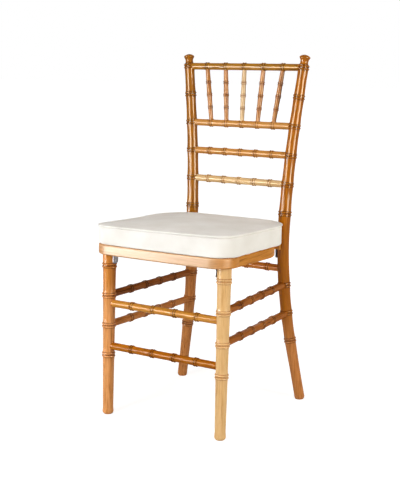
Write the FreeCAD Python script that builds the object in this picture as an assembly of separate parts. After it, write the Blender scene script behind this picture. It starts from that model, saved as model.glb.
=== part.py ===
import FreeCAD, Part
import math
import os

# Chiavari chair: a turned wooden dining chair with a loose boxed cushion.
# Millimetres. +Z is up, the front of the chair looks towards -Y, and left and right
# are as seen by someone who stands in front of the chair. The origin is on the floor,
# below the middle of the chair's box.

# Seat height, measured to the frame's underside above the front legs
seat_hinge_height = 426.2

# Front legs: straight, leaning back a little from the foot to the seat
front_leg_half_spacing = 172.5
front_leg_foot_y = -192.6
front_leg_lean = 2.45
front_leg_foot_radius = 14.3
front_leg_top_radius = 17.6
front_leg_top_ring = seat_hinge_height - 33.2
front_leg_ring_pitch = 78.0
front_leg_ring_count = 4
front_leg_tenon_radius = 9.0
front_leg_tenon_length = 16.0

# Back posts: one bent stick each, narrowest between them at the seat
post_waist_half_spacing = 145.5
post_waist_height = seat_hinge_height + 3.8
post_upper_flare_radius = 3050.0
post_upper_flare_length = 330.0
post_lower_flare_radius = 1720.0
post_lower_flare_length = 285.0
post_bend_y = 166.0
post_bend_height = seat_hinge_height - 26.2
post_rake_radius = 1270.0
post_rake_length = 108.0
post_heel_radius = 3500.0
post_heel_length = 235.0
post_foot_radius = 13.7
post_seat_radius = 17.0
post_top_radius = 13.8
post_top_ring = 889.0
post_ring_pitch = 76.2
post_upper_ring_count = 6
post_lower_ring_top = seat_hinge_height - 110.2
post_lower_ring_pitch = 76.0
post_lower_ring_count = 3

# Foot ends of legs and posts
foot_round_height = 9.0
foot_round_bulge = 1.8
foot_sole_inset = 5.0
foot_stub = 2.0

# Mushroom end on top of each post, measured up from the top ring
neck_foot_radius = 11.6
neck_foot_rise = 0.8
neck_radius = 10.4
neck_height = 15.0
cap_underside_radius = 13.6
cap_underside_height = 23.7
cap_height = 24.5
cap_radius = 14.3
cap_edge_soft = 0.4
cap_lip = 3.2
cap_dome = 5.3

# Double rings: two proud beads with a land between them
post_ring_spacing = 7.4
post_bead_width = 4.2
post_bead_proud = 2.0
bar_ring_spacing = 6.6
bar_bead_width = 3.6
bar_bead_proud = 1.7
spindle_ring_spacing = 4.4
spindle_bead_width = 3.0
spindle_bead_proud = 1.4
ring_land_rise = 0.3
shaft_draw = 0.7
bar_draw = 0.3
shaft_flare_length = 9.0
shaft_sections = 4
ring_shoulder = 1.5

# Horizontal bars of the back, with their turned rings
rail_radius = 9.5
rail_ring_count = 5
top_rail_ring_gap = 59.0
back_rail_ring_gap = 48.4
spindle_rail_step = 2
middle_rail_step = 3
lower_rail_step = 4

# Spindles between the top rail and the spindle rail
spindle_middle_radius = 6.9
spindle_end_radius = 5.6
spindle_ring_gap = 34.0
spindle_ring_count = 3
spindle_tenon_radius = 3.4
spindle_tenon_reach = 1.5

# Stretchers between the legs
stretcher_radius = 9.8
stretcher_ring_count = 4
front_stretcher_ring_gap = 65.5
side_stretcher_ring_gap = 60.0
front_upper_stretcher_height = seat_hinge_height - 131.7
front_lower_stretcher_height = seat_hinge_height - 244.2
side_upper_stretcher_height = post_lower_ring_top
side_lower_stretcher_height = seat_hinge_height - 188.7
back_stretcher_height = seat_hinge_height - 66.7

# Round tenons of rails and stretchers
tenon_radius = 5.5
tenon_reach = 2.0
tenon_root = 24.0
socket_clearance = 0.15
socket_end_gap = 0.5

# Seat frame, laid out flat and then tipped back about a line across its underside
seat_tilt = 2.0
seat_hinge_y = -193.5
seat_thickness = 26.0
seat_edge_round = 4.0
seat_front_half_width = 202.0
seat_front_overhang = 21.6
seat_front_bow = 5.0
seat_corner_radius = 52.0
seat_front_rail_depth = 61.6
seat_side_half_width = 197.0
seat_side_length = 193.0
seat_bend_radius = 110.0
seat_bend_angle = 29.0
seat_side_rail_width = 46.0
seat_back_rail_front = 336.0
seat_back_rail_depth = 38.0
seat_back_rail_half_length = 147.0
seat_tongue_length = 10.0
seat_tongue_thickness = 9.0
seat_tongue_height = 5.0
seat_tongue_width = 24.0
seat_tongue_clearance = 0.15
seat_back_tenon_radius = 6.0
seat_back_tenon_length = 14.0
notch_clearance = 0.25

# How far a cutting shape runs past what it cuts, and the size of one that halves a piece
cut_past = 1.0
cut_span = 1000.0

# Plywood panel let into the frame
panel_thickness = 9.0
panel_lap = 10.0
panel_clearance = 0.3

# Steel angle brackets under the seat frame
bracket_thickness = 2.0
bracket_width = 20.0
bracket_arm = 28.0
bracket_drop = 26.0
bracket_end_round = 6.0
bracket_bend_radius = 2.5
bracket_hole_radius = 2.1
bracket_hole_inset = 8.0
bracket_hole_gap = 10.0
bracket_clearance = 0.05

# Wood screws of the brackets
screw_radius = 1.8
screw_length = 14.0
screw_tip = 3.0
screw_head_radius = 3.6
screw_head_height = 1.7
screw_slot_length = 4.0
screw_slot_width = 0.9
screw_slot_depth = 0.7
screw_pilot_clearance = 0.1

# Cushion, boxed and crowned, lying loose on the frame
cushion_gap = 0.3
cushion_height = 52.0
cushion_crown = 4.0
cushion_half_width = seat_front_half_width + 1.0
cushion_front_overhang = seat_front_overhang + 0.4
cushion_front_bow = seat_front_bow
cushion_front_corner = 50.0
cushion_back_half_width = seat_side_half_width - 2.0
cushion_back_corner = 102.0
cushion_depth = 334.0
cushion_edge_draw = 3.0
cushion_edge_height = 7.0
cushion_crown_shares = (1.0, 0.8, 0.5, 0.2)
cushion_crown_power = 2.4

# Two places closer than this are the same place
tiny = 0.01

UP = FreeCAD.Vector(0, 0, 1)


def point(x, y, z):
    return FreeCAD.Vector(x, y, z)


def mirror_left(shape):
    """The same piece on the other side of the chair."""
    return shape.mirror(point(0, 0, 0), point(1, 0, 0))


def bow_out(distance, radius, length):
    """How far a stick has left its line: bent at one radius, then straight on."""
    bent = min(distance, length)
    return bent * bent / (2 * radius) + (distance - bent) * length / radius


def post_point(height):
    """Middle of the right back post at a height."""
    if height > post_waist_height:
        flare = bow_out(height - post_waist_height, post_upper_flare_radius, post_upper_flare_length)
    else:
        flare = bow_out(post_waist_height - height, post_lower_flare_radius, post_lower_flare_length)
    if height > post_bend_height:
        rake = bow_out(height - post_bend_height, post_rake_radius, post_rake_length)
    else:
        rake = bow_out(post_bend_height - height, post_heel_radius, post_heel_length)
    return point(post_waist_half_spacing + flare, post_bend_y + rake, height)


def post_direction(height):
    step = 0.5
    return (post_point(height + step) - post_point(height - step)).normalize()


def post_radius(height):
    if height > post_waist_height:
        share = (height - post_waist_height) / (post_top_ring - post_waist_height)
        return post_seat_radius + (post_top_radius - post_seat_radius) * share
    share = height / post_waist_height
    return post_foot_radius + (post_seat_radius - post_foot_radius) * share


def front_leg_point(height):
    """Middle of the right front leg at a height."""
    return point(
        front_leg_half_spacing,
        front_leg_foot_y + height * math.tan(math.radians(front_leg_lean)),
        height,
    )


def front_leg_radius(height):
    share = height / seat_hinge_height
    return front_leg_foot_radius + (front_leg_top_radius - front_leg_foot_radius) * share


def aim(shape, start, direction):
    """Put a piece that was turned along +Z from the origin onto its line."""
    placed = shape.copy()
    placed.Placement = FreeCAD.Placement(start, FreeCAD.Rotation(UP, direction))
    return placed


def rod(start, end, radius):
    """Plain round rod between two points."""
    line = end - start
    return Part.makeCylinder(radius, line.Length, start, line)


class Ring:
    """A double ring: where its beads stand, and how proud they are."""

    def __init__(self, spacing, bead_width, bead_proud):
        self.bead_width = bead_width
        self.bead_proud = bead_proud
        self.half_length = (spacing + bead_width) / 2


POST_RING = Ring(post_ring_spacing, post_bead_width, post_bead_proud)
BAR_RING = Ring(bar_ring_spacing, bar_bead_width, bar_bead_proud)
SPINDLE_RING = Ring(spindle_ring_spacing, spindle_bead_width, spindle_bead_proud)


class Turning:
    """Half outline of a turned piece, drawn from its lower end to its upper end."""

    def __init__(self, start_height, start_radius):
        self.edges = []
        self.here = point(0, 0, start_height)
        self.line_to(start_radius, start_height)

    def line_to(self, radius, height):
        end = point(radius, 0, height)
        if end.distanceToPoint(self.here) > tiny:
            self.edges.append(Part.LineSegment(self.here, end).toShape())
            self.here = end

    def arc_to(self, middle, end):
        through = point(middle[0], 0, middle[1])
        stop = point(end[0], 0, end[1])
        self.edges.append(Part.Arc(self.here, through, stop).toShape())
        self.here = stop

    def bulge_to(self, radius, height, bulge):
        """Round outwards to the next point, the arc's middle off the straight line by a bulge."""
        end = point(radius, 0, height)
        chord = end - self.here
        outward = point(chord.z, 0, -chord.x).normalize()
        middle = (self.here + end) * 0.5 + outward * bulge
        self.arc_to((middle.x, middle.z), (radius, height))

    def dome_to(self, rise):
        """Part of a ball that closes the outline on the axis, up or down by a rise."""
        edge = self.here
        ball = (edge.x ** 2 + rise ** 2) / (2 * abs(rise))
        side = math.copysign(1, rise)
        centre_height = edge.z + rise - side * ball
        half_angle = math.atan2(edge.x, side * (edge.z - centre_height)) / 2
        middle = (ball * math.sin(half_angle), centre_height + side * ball * math.cos(half_angle))
        self.arc_to(middle, (0, edge.z + rise))

    def shaft_to(self, radius, height, draw):
        """Stretch between two rings, drawn in a little between its flared ends."""
        start = self.here
        flare = min(shaft_flare_length, (height - start.z) / 3)
        if draw > 0:
            self.line_to(start.x - draw, start.z + flare)
            self.line_to(radius - draw, height - flare)
        self.line_to(radius, height)

    def ring(self, ring, height, radius):
        """Two beads and the land between them, both ends at the shaft's radius."""
        width = ring.bead_width
        low = height - ring.half_length
        high = height + ring.half_length
        land = radius + ring_land_rise
        self.arc_to((radius + ring.bead_proud, low + width / 2), (land, low + width))
        self.line_to(land, high - width)
        self.arc_to((radius + ring.bead_proud, high - width / 2), (radius, high))

    def solid(self):
        """The piece turned from the outline, closed along its axis."""
        self.line_to(0, self.here.z)
        start = self.edges[0].Vertexes[0].Point
        axis = Part.LineSegment(self.here, start).toShape()
        return Part.Face(Part.Wire(self.edges + [axis])).revolve(point(0, 0, 0), UP, 360)


def turned_bar(length, radius_at, ring, ring_places, draw):
    """Straight turned bar along +Z with rings at the given distances."""
    turning = Turning(0, radius_at(0))
    for place in ring_places:
        turning.shaft_to(radius_at(place), place - ring.half_length, draw)
        turning.ring(ring, place, radius_at(place))
    turning.shaft_to(radius_at(length), length, draw)
    return turning.solid()


def centred_places(middle, gap, count):
    """Evenly spaced places about a middle."""
    return [middle + gap * (index - (count - 1) / 2) for index in range(count)]


def foot_start(radius, way):
    """Outline of a rounded foot, long enough below the floor for a slanting stick."""
    slope = math.hypot(way.x, way.y) / way.z
    turning = Turning(-radius * slope, radius - foot_sole_inset)
    turning.bulge_to(radius, foot_round_height, foot_round_bulge)
    return turning


def cut_level(stick, place):
    """Cut a foot flat where it stands on the floor."""
    reach = 4 * post_foot_radius
    below = Part.makeBox(2 * reach, 2 * reach, reach, place - point(reach, reach, reach))
    return stick.cut(below)


def bent_shaft(start, start_way, end, end_way, start_radius, end_radius):
    """Round stick between two ring zones, following the bend of the post."""
    span = (end - start).Length
    sections = []
    for step in range(shaft_sections):
        t = step / (shaft_sections - 1)
        reach = t * (1 - t) ** 2 * span
        settle = t * t * (t - 1) * span
        blend = t * t * (3 - 2 * t)
        middle = start * (1 - blend) + end * blend + start_way * reach + end_way * settle
        way = start_way * (1 - t) + end_way * t
        radius = start_radius * (1 - t) + end_radius * t - shaft_draw * 4 * t * (1 - t)
        circle = Part.Wire([Part.makeCircle(radius)])
        sections.append(aim(circle, middle, way.normalize()))
    return Part.makeLoft(sections, True, False)


def ring_zone(height, way, ring_radius):
    """Short straight stretch of a post with its double ring."""
    half = POST_RING.half_length + ring_shoulder
    turning = Turning(-half, ring_radius)
    turning.line_to(ring_radius, -POST_RING.half_length)
    turning.ring(POST_RING, 0, ring_radius)
    turning.line_to(ring_radius, half)
    return aim(turning.solid(), post_point(height), way)


def finial(height):
    """Neck and mushroom cap that end the post above its top ring."""
    start = POST_RING.half_length + ring_shoulder
    turning = Turning(start, post_top_radius)
    turning.line_to(neck_foot_radius, start + neck_foot_rise)
    turning.arc_to((neck_radius, neck_height), (cap_underside_radius, cap_underside_height))
    turning.line_to(cap_radius - cap_edge_soft, cap_height)
    lip_top = cap_height + cap_lip
    turning.arc_to((cap_radius, cap_height + cap_lip / 2), (cap_radius - cap_edge_soft, lip_top))
    turning.dome_to(cap_dome)
    return aim(turning.solid(), post_point(height), post_direction(height))


def post_ring_heights():
    """Heights of all rings of a post, from the lowest to the highest."""
    lower = [post_lower_ring_top - post_lower_ring_pitch * step for step in range(post_lower_ring_count)]
    upper = [post_top_ring - post_ring_pitch * step for step in range(post_upper_ring_count)]
    return sorted(lower + upper)


def back_post_blank():
    """Right back post without its sockets."""
    heights = post_ring_heights()
    half = POST_RING.half_length + ring_shoulder
    foot_top = foot_round_height + foot_stub
    start_way = post_direction(foot_top)
    start_radius = post_foot_radius
    foot = foot_start(post_foot_radius, start_way)
    foot.line_to(post_foot_radius, foot_top)
    solids = [cut_level(aim(foot.solid(), post_point(0), start_way), post_point(0))]
    start = post_point(0) + start_way * foot_top
    for height in heights:
        way = post_direction(height)
        radius = post_radius(height)
        end = post_point(height) - way * half
        solids.append(bent_shaft(start, start_way, end, way, start_radius, radius))
        solids.append(ring_zone(height, way, radius))
        start = post_point(height) + way * half
        start_way = way
        start_radius = radius
    solids.append(finial(heights[-1]))
    return solids[0].multiFuse(solids[1:])


def seat_place(shape):
    """Tip a piece that was laid out flat into the lean of the seat."""
    lean = FreeCAD.Rotation(point(1, 0, 0), -seat_tilt)
    placed = shape.copy()
    tip = FreeCAD.Placement(point(0, seat_hinge_y, seat_hinge_height), lean)
    placed.Placement = tip.multiply(shape.Placement)
    return placed


def seat_underside_height(y):
    """Height of the seat frame's underside above the floor, at a place in the chair."""
    return seat_hinge_height - (y - seat_hinge_y) * math.tan(math.radians(seat_tilt))


def seat_flat_y(y, height):
    """Place along the flat seat layout of a point of the chair."""
    lean = math.radians(seat_tilt)
    return (y - seat_hinge_y) * math.cos(lean) - (height - seat_hinge_height) * math.sin(lean)


def front_leg_blank():
    """Right front leg without sockets, its top square to the seat frame."""
    lean = math.cos(math.radians(front_leg_lean))
    way = (front_leg_point(1) - front_leg_point(0)).normalize()
    seat_height = seat_underside_height(front_leg_point(seat_hinge_height).y)
    turning = foot_start(front_leg_foot_radius, way)
    for step in reversed(range(front_leg_ring_count)):
        height = front_leg_top_ring - front_leg_ring_pitch * step
        radius = front_leg_radius(height)
        turning.shaft_to(radius, height / lean - POST_RING.half_length, shaft_draw)
        turning.ring(POST_RING, height / lean, radius)
    turning.line_to(front_leg_top_radius, (seat_height + front_leg_tenon_length) / lean)
    leg = cut_level(aim(turning.solid(), front_leg_point(0), way), front_leg_point(0))
    reach = 2 * front_leg_top_radius
    above = Part.makeBox(2 * reach, 4 * reach, 2 * reach, point(front_leg_half_spacing - reach, -reach, 0))
    leg = leg.cut(seat_place(above))
    return leg.fuse(front_leg_tenon(front_leg_tenon_radius, front_leg_tenon_length))


def front_leg_tenon(radius, length):
    """Round tenon on the leg, or with a clearance its hole in the front rail."""
    seat_height = seat_underside_height(front_leg_point(seat_hinge_height).y)
    return rod(front_leg_point(seat_height - tenon_root), front_leg_point(seat_height + length), radius)


class Joinery:
    """Round tenons on bars, and the sockets to be bored in the pieces that hold them."""

    def __init__(self):
        self.sockets = {}

    def bore(self, host, start, way, radius, reach):
        """Keep a socket for a host, from outside its surface to just past the tenon."""
        inside = start - way * (reach + socket_end_gap)
        outside = start + way * tenon_root
        self.sockets.setdefault(host, []).append(rod(outside, inside, radius + socket_clearance))

    def bar(self, start, end, turned, hosts, radius, reach):
        """Fit a turned bar between the middles of two hosts and give it its tenons."""
        way = (end - start).normalize()
        bar = aim(turned, start, way)
        for name, host, place, inward in ((*hosts[0], start, way), (*hosts[1], end, way * -1)):
            bar = bar.cut(host)
            bar = bar.fuse(rod(place + inward * tenon_root, place - inward * reach, radius))
            self.bore(name, place, inward, radius, reach)
        return bar

    def finish(self, name, blank):
        """The blank with all its sockets bored."""
        return blank.cut(self.sockets[name]) if name in self.sockets else blank


def plain_bar(length, radius, ring_gap, ring_count):
    """Turned rail or stretcher along +Z, with evenly spaced rings."""
    places = centred_places(length / 2, ring_gap, ring_count)
    return turned_bar(length, lambda place: radius, BAR_RING, places, bar_draw)


def spindle_bar(length):
    """Turned spindle along +Z, fullest in the middle."""
    def radius_at(place):
        share = abs(place - length / 2) / (length / 2)
        return spindle_middle_radius + (spindle_end_radius - spindle_middle_radius) * share
    places = centred_places(length / 2, spindle_ring_gap, spindle_ring_count)
    return turned_bar(length, radius_at, SPINDLE_RING, places, 0)


def seat_side(inset, front_y, back_y):
    """Right side of the seat layout, from front to back: line, round bend, line."""
    first = math.atan2(seat_front_half_width - seat_side_half_width, seat_side_length + seat_front_overhang)
    last = math.radians(seat_bend_angle)
    radius = seat_bend_radius - inset
    centre = point(
        seat_side_half_width - seat_bend_radius * math.cos(first),
        seat_side_length - seat_bend_radius * math.sin(first),
        0,
    )

    def on_bend(angle):
        return centre + point(radius * math.cos(angle), radius * math.sin(angle), 0)

    bend_start = on_bend(first)
    bend_end = on_bend(last)
    front = bend_start + point(math.tan(first) * (bend_start.y - front_y), front_y - bend_start.y, 0)
    back = bend_end + point(-math.tan(last) * (back_y - bend_end.y), back_y - bend_end.y, 0)
    bend = Part.Arc(bend_start, on_bend((first + last) / 2), bend_end)
    return front, back, [Part.LineSegment(front, bend_start), bend, Part.LineSegment(bend_end, back)]


def seat_layout(inset, front_y, back_y, bow, height):
    """Flat slab with the seat's outline, drawn in by an inset."""
    front, back, curves = seat_side(inset, front_y, back_y)
    right = [curve.toShape() for curve in curves]
    left = [mirror_left(edge) for edge in right]
    left_front = point(-front.x, front.y, 0)
    left_back = point(-back.x, back.y, 0)
    if bow > 0:
        nose = Part.Arc(left_front, point(0, front.y - bow, 0), front).toShape()
    else:
        nose = Part.LineSegment(left_front, front).toShape()
    tail = Part.LineSegment(back, left_back).toShape()
    outline = Part.Wire(Part.__sortEdges__([nose, tail] + right + left))
    return Part.Face(outline).extrude(point(0, 0, height))


def at_height(shape, height):
    moved = shape.copy()
    moved.translate(point(0, 0, height))
    return moved


def seat_rim():
    """Front and side rails in one: round corners and soft outer edges."""
    rim = seat_layout(0, -seat_front_overhang, seat_back_rail_front, seat_front_bow, seat_thickness)
    corners = [
        edge for edge in rim.Edges
        if len(edge.Vertexes) == 2 and abs(edge.tangentAt(edge.FirstParameter).z) > 0.99
        and edge.CenterOfMass.y < 0
    ]
    rim = rim.makeFillet(seat_corner_radius, corners)
    soft = [
        edge for edge in rim.Edges
        if edge.BoundBox.ZLength < tiny and edge.BoundBox.YMin < seat_back_rail_front - tiny
    ]
    rim = rim.makeFillet(seat_edge_round, soft)
    back_y = seat_back_rail_front + cut_past
    opening = seat_layout(seat_side_rail_width, seat_inner_front(), back_y, 0, seat_thickness)
    return rim.cut(opening)


def seat_inner_front():
    """Back face of the front rail in the flat layout."""
    return seat_front_rail_depth - seat_front_overhang


def panel_slab(clearance, height):
    """Slab of the plywood panel's outline, or of its pocket."""
    inset = seat_side_rail_width - panel_lap + clearance
    front = seat_inner_front() - panel_lap + clearance
    back = seat_back_rail_front + panel_lap - clearance
    return at_height(seat_layout(inset, front, back, 0, height), seat_thickness - panel_thickness)


def tongue(x, y, clearance):
    """Flat tongue on a side rail's end, or its mortise in the rail that takes it."""
    width = seat_tongue_width + 2 * clearance
    length = 2 * seat_tongue_length + 2 * clearance
    height = seat_tongue_thickness + 2 * clearance
    corner = point(x - width / 2, y - length / 2, seat_tongue_height - clearance)
    return Part.makeBox(width, length, height, corner)


def seat_tongues(clearance):
    """Tongues at both ends of the right side rail."""
    front_x = seat_side_half_width - seat_side_rail_width / 2
    back = seat_side(seat_side_rail_width / 2, seat_inner_front(), seat_back_rail_front)[1]
    return [
        tongue(front_x, seat_inner_front(), clearance),
        tongue(back.x, seat_back_rail_front, clearance),
    ]


def seat_back_blank(posts):
    """Back rail, notched round both posts, with a round tenon into each."""
    corner = point(-seat_back_rail_half_length, seat_back_rail_front, 0)
    rail = Part.makeBox(2 * seat_back_rail_half_length, seat_back_rail_depth, seat_thickness, corner)
    back_y = seat_back_rail_front + seat_back_rail_depth
    soft = [edge for edge in rail.Edges if edge.BoundBox.YMin > back_y - tiny and edge.BoundBox.XLength > 1]
    rail = seat_place(rail.makeFillet(seat_edge_round, soft))
    for side in posts:
        rail = rail.cut(side(post_notch()))
    for side in posts:
        rail = rail.fuse(side(back_rail_tenon(seat_back_tenon_radius, seat_back_tenon_length)))
    return rail


def post_notch():
    """Clearance for the right post in the seat's back rail."""
    reach = 2 * seat_thickness
    middle = seat_underside_height(post_bend_y) + seat_thickness / 2
    way = post_direction(middle)
    centre = post_point(middle)
    return rod(centre - way * reach, centre + way * reach, post_radius(middle) + notch_clearance)


def back_rail_tenon(radius, length):
    """Round tenon from the back rail into the right post."""
    height = seat_underside_height(post_bend_y) + seat_thickness / 2
    face = post_point(height) - point(post_radius(height), 0, 0)
    return rod(face - point(tenon_root, 0, 0), face + point(length, 0, 0), radius)


def bracket_places():
    """Corner of each right bracket in the flat layout: inner side of leg and post."""
    leg_y = seat_flat_y(front_leg_point(seat_hinge_height).y, seat_hinge_height)
    leg_x = front_leg_half_spacing - front_leg_top_radius - bracket_clearance
    height = seat_underside_height(post_bend_y)
    post_y = seat_flat_y(post_point(height).y, height)
    sides = [post_point(z).x - post_radius(z) for z in (height, height - bracket_drop)]
    return {"front": point(leg_x, leg_y, 0), "back": point(min(sides) - bracket_clearance, post_y, 0)}


def bracket_blank():
    """Angle bracket: its arm runs to -X under the frame, its drop hangs at X = 0."""
    half = bracket_width / 2
    arm_corner = point(-bracket_arm, -half, -bracket_thickness)
    arm = Part.makeBox(bracket_arm, bracket_width, bracket_thickness, arm_corner)
    arm = arm.makeFillet(bracket_end_round, end_edges(arm, 0, -bracket_arm))
    drop_corner = point(-bracket_thickness, -half, -bracket_drop)
    drop = Part.makeBox(bracket_thickness, bracket_width, bracket_drop, drop_corner)
    drop = drop.makeFillet(bracket_end_round, end_edges(drop, 2, -bracket_drop))
    angle = arm.fuse(drop).removeSplitter()
    bend = [
        edge for edge in angle.Edges
        if abs(edge.CenterOfMass.x) < tiny and abs(edge.CenterOfMass.z) < tiny
    ]
    angle = angle.makeFillet(bracket_bend_radius, bend)
    reach = 2 * bracket_thickness
    holes = []
    for start, way in screw_places():
        holes.append(rod(start - way * reach, start + way * reach, bracket_hole_radius))
    return angle.cut(holes)


def end_edges(plate, axis, place):
    """Short edges through a bracket's plate at its free end."""
    return [
        edge for edge in plate.Edges
        if abs(edge.BoundBox.Center[axis] - place) < tiny and abs(edge.Length - bracket_thickness) < tiny
    ]


def screw_places():
    """Where each screw enters its bracket, under the head, and its way into the wood."""
    places = []
    for step in range(2):
        along = bracket_hole_inset + bracket_hole_gap * step
        places.append((point(along - bracket_arm, 0, -bracket_thickness), UP))
        places.append((point(-bracket_thickness, 0, along - bracket_drop), point(1, 0, 0)))
    return places


def screw_blank():
    """Round-head wood screw along +Z, its head's underside at the origin."""
    turning = Turning(screw_length, 0)
    turning.line_to(screw_radius, screw_length - screw_tip)
    turning.line_to(screw_radius, 0)
    turning.line_to(screw_head_radius, 0)
    turning.dome_to(-screw_head_height)
    low = screw_slot_depth - 2 * screw_head_height
    slots = []
    for length, width in ((screw_slot_length, screw_slot_width), (screw_slot_width, screw_slot_length)):
        corner = point(-length / 2, -width / 2, low)
        slots.append(Part.makeBox(length, width, screw_head_height, corner))
    return turning.solid().cut(slots)


def bracket_set():
    """Brackets, their screws and the pilot holes, all in place."""
    brackets = {}
    screws = []
    pilots = []
    for row, corner in bracket_places().items():
        bracket = bracket_blank()
        bracket.translate(corner)
        brackets[row + "_right_bracket"] = seat_place(bracket)
        brackets[row + "_left_bracket"] = mirror_left(seat_place(bracket))
        for start, way in screw_places():
            head = start + corner
            screw = aim(screw_blank(), head, way)
            tip = head + way * (screw_length + socket_end_gap)
            pilot = rod(head, tip, screw_radius + screw_pilot_clearance)
            for side in (seat_place, lambda shape: mirror_left(seat_place(shape))):
                screws.append(side(screw))
                pilots.append(side(pilot))
    return brackets, screws, pilots


def cushion_outline(inset, share, height):
    """Outline of the cushion at one level: drawn in by an inset, or shrunk for the crown."""
    front_x = (cushion_half_width - inset) * share
    back_x = (cushion_back_half_width - inset) * share
    middle_y = (cushion_depth - cushion_front_overhang) / 2
    half_depth = (cushion_depth + cushion_front_overhang) / 2 - inset
    front_y = middle_y - half_depth * share
    back_y = middle_y + half_depth * share
    front_corner = (cushion_front_corner - inset) * share
    back_corner = (cushion_back_corner - inset) * share
    turn = math.sqrt(0.5)

    def quarter(centre, radius, start, end):
        middle = centre + (start + end) * (radius * turn)
        return Part.Arc(centre + start * radius, middle, centre + end * radius).toShape()

    right = point(1, 0, 0)
    back = point(0, 1, 0)
    front = point(0, -1, 0)
    left = point(-1, 0, 0)
    front_centre = point(front_x - front_corner, front_y + front_corner, 0)
    back_centre = point(back_x - back_corner, back_y - back_corner, 0)
    nose_end = point(front_centre.x, front_y, 0)
    tail_end = point(back_centre.x, back_y, 0)

    def across(spot):
        return point(-spot.x, spot.y, 0)

    side_back = across(back_centre) + left * back_corner
    side_front = across(front_centre) + left * front_corner
    edges = [
        Part.Arc(across(nose_end), point(0, front_y - cushion_front_bow * share, 0), nose_end).toShape(),
        quarter(front_centre, front_corner, front, right),
        Part.LineSegment(front_centre + right * front_corner, back_centre + right * back_corner).toShape(),
        quarter(back_centre, back_corner, right, back),
        Part.LineSegment(tail_end, across(tail_end)).toShape(),
        quarter(across(back_centre), back_corner, back, left),
        Part.LineSegment(side_back, side_front).toShape(),
        quarter(across(front_centre), front_corner, left, front),
    ]
    return at_height(Part.Wire(edges), height)


def cushion_blank():
    """Boxed cushion: sides drawn in towards both seams, top crowned towards its middle."""
    walls = Part.makeLoft([
        cushion_outline(cushion_edge_draw, 1, 0),
        cushion_outline(0, 1, cushion_edge_height),
        cushion_outline(0, 1, cushion_height - cushion_edge_height),
        cushion_outline(cushion_edge_draw, 1, cushion_height),
    ], True, True)
    levels = []
    for share in cushion_crown_shares:
        rise = cushion_crown * (1 - share ** cushion_crown_power)
        levels.append(cushion_outline(cushion_edge_draw, share, cushion_height + rise))
    crown = Part.makeLoft(levels, True, False)
    cushion = walls.fuse(crown)
    return seat_place(at_height(cushion, seat_thickness + cushion_gap))


def back_frame(joinery, left_post, right_post):
    """Rails and spindles between the two posts."""
    hosts = (("back_left_post", left_post), ("back_right_post", right_post))
    pieces = {}
    steps = {
        "top_rail": 0,
        "spindle_rail": spindle_rail_step,
        "middle_rail": middle_rail_step,
        "lower_rail": lower_rail_step,
    }
    for name, step in steps.items():
        end = post_point(post_top_ring - post_ring_pitch * step)
        gap = top_rail_ring_gap if step == 0 else back_rail_ring_gap
        turned = plain_bar(2 * end.x, rail_radius, gap, rail_ring_count)
        start = point(-end.x, end.y, end.z)
        pieces[name] = joinery.bar(start, end, turned, hosts, tenon_radius, tenon_reach)
    tops = centred_places(0, top_rail_ring_gap, rail_ring_count)
    bottoms = centred_places(0, back_rail_ring_gap, rail_ring_count)
    top_line = post_point(post_top_ring)
    bottom_line = post_point(post_top_ring - post_ring_pitch * spindle_rail_step)
    rails = (("spindle_rail", pieces["spindle_rail"]), ("top_rail", pieces["top_rail"]))
    for number, (top_x, bottom_x) in enumerate(zip(tops, bottoms), 1):
        start = point(bottom_x, bottom_line.y, bottom_line.z)
        end = point(top_x, top_line.y, top_line.z)
        turned = spindle_bar((end - start).Length)
        spindle = joinery.bar(start, end, turned, rails, spindle_tenon_radius, spindle_tenon_reach)
        pieces["spindle_%d" % number] = spindle
    for name, rail in rails:
        pieces[name] = joinery.finish(name, rail)
    return pieces


def stretchers(joinery, legs):
    """Stretchers between legs and posts."""
    pieces = {}
    names = ("front_left_leg", "front_right_leg", "back_left_post", "back_right_post")
    front_left, front_right, back_left, back_right = [(name, legs[name]) for name in names]

    def add(name, start, end, hosts, gap):
        turned = plain_bar((end - start).Length, stretcher_radius, gap, stretcher_ring_count)
        pieces[name] = joinery.bar(start, end, turned, hosts, tenon_radius, tenon_reach)

    def across(spot):
        return point(-spot.x, spot.y, spot.z)

    heights = {"upper": side_upper_stretcher_height, "lower": side_lower_stretcher_height}
    for level, height in heights.items():
        start = front_leg_point(height)
        end = post_point(height)
        hosts = (front_right, back_right)
        add("right_%s_stretcher" % level, start, end, hosts, side_stretcher_ring_gap)
        hosts = (front_left, back_left)
        add("left_%s_stretcher" % level, across(start), across(end), hosts, side_stretcher_ring_gap)
    heights = {"upper": front_upper_stretcher_height, "lower": front_lower_stretcher_height}
    for level, height in heights.items():
        end = front_leg_point(height)
        hosts = (front_left, front_right)
        add("front_%s_stretcher" % level, across(end), end, hosts, front_stretcher_ring_gap)
    end = post_point(back_stretcher_height)
    hosts = (back_left, back_right)
    add("back_stretcher", across(end), end, hosts, front_stretcher_ring_gap)
    return pieces


def seat_frame(posts):
    """Four seat rails, tongued together and rebated for the panel."""
    rim = seat_rim()
    pocket = panel_slab(0, panel_thickness + cut_past)
    half_span = cut_span / 2
    corner = point(-half_span, seat_inner_front() - cut_span, -half_span)
    half_space = Part.makeBox(cut_span, cut_span, cut_span, corner)
    front = rim.common(half_space).cut(pocket)
    sides = rim.cut(half_space).cut(pocket)
    right_half = Part.makeBox(cut_span, cut_span, cut_span, point(0, -half_span, -half_span))
    right = sides.common(right_half).fuse(seat_tongues(0))
    mortises = []
    for side in (at_zero, mirror_left):
        mortises += [side(mortise) for mortise in seat_tongues(seat_tongue_clearance)]
    back = seat_back_blank(posts)
    return {
        "seat_front_rail": seat_place(front.cut(mortises)),
        "seat_right_rail": seat_place(right),
        "seat_left_rail": mirror_left(seat_place(right)),
        "seat_back_rail": back.cut([seat_place(mortise) for mortise in mortises] + [seat_place(pocket)]),
        "seat_panel": seat_place(panel_slab(panel_clearance, panel_thickness)),
    }


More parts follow.
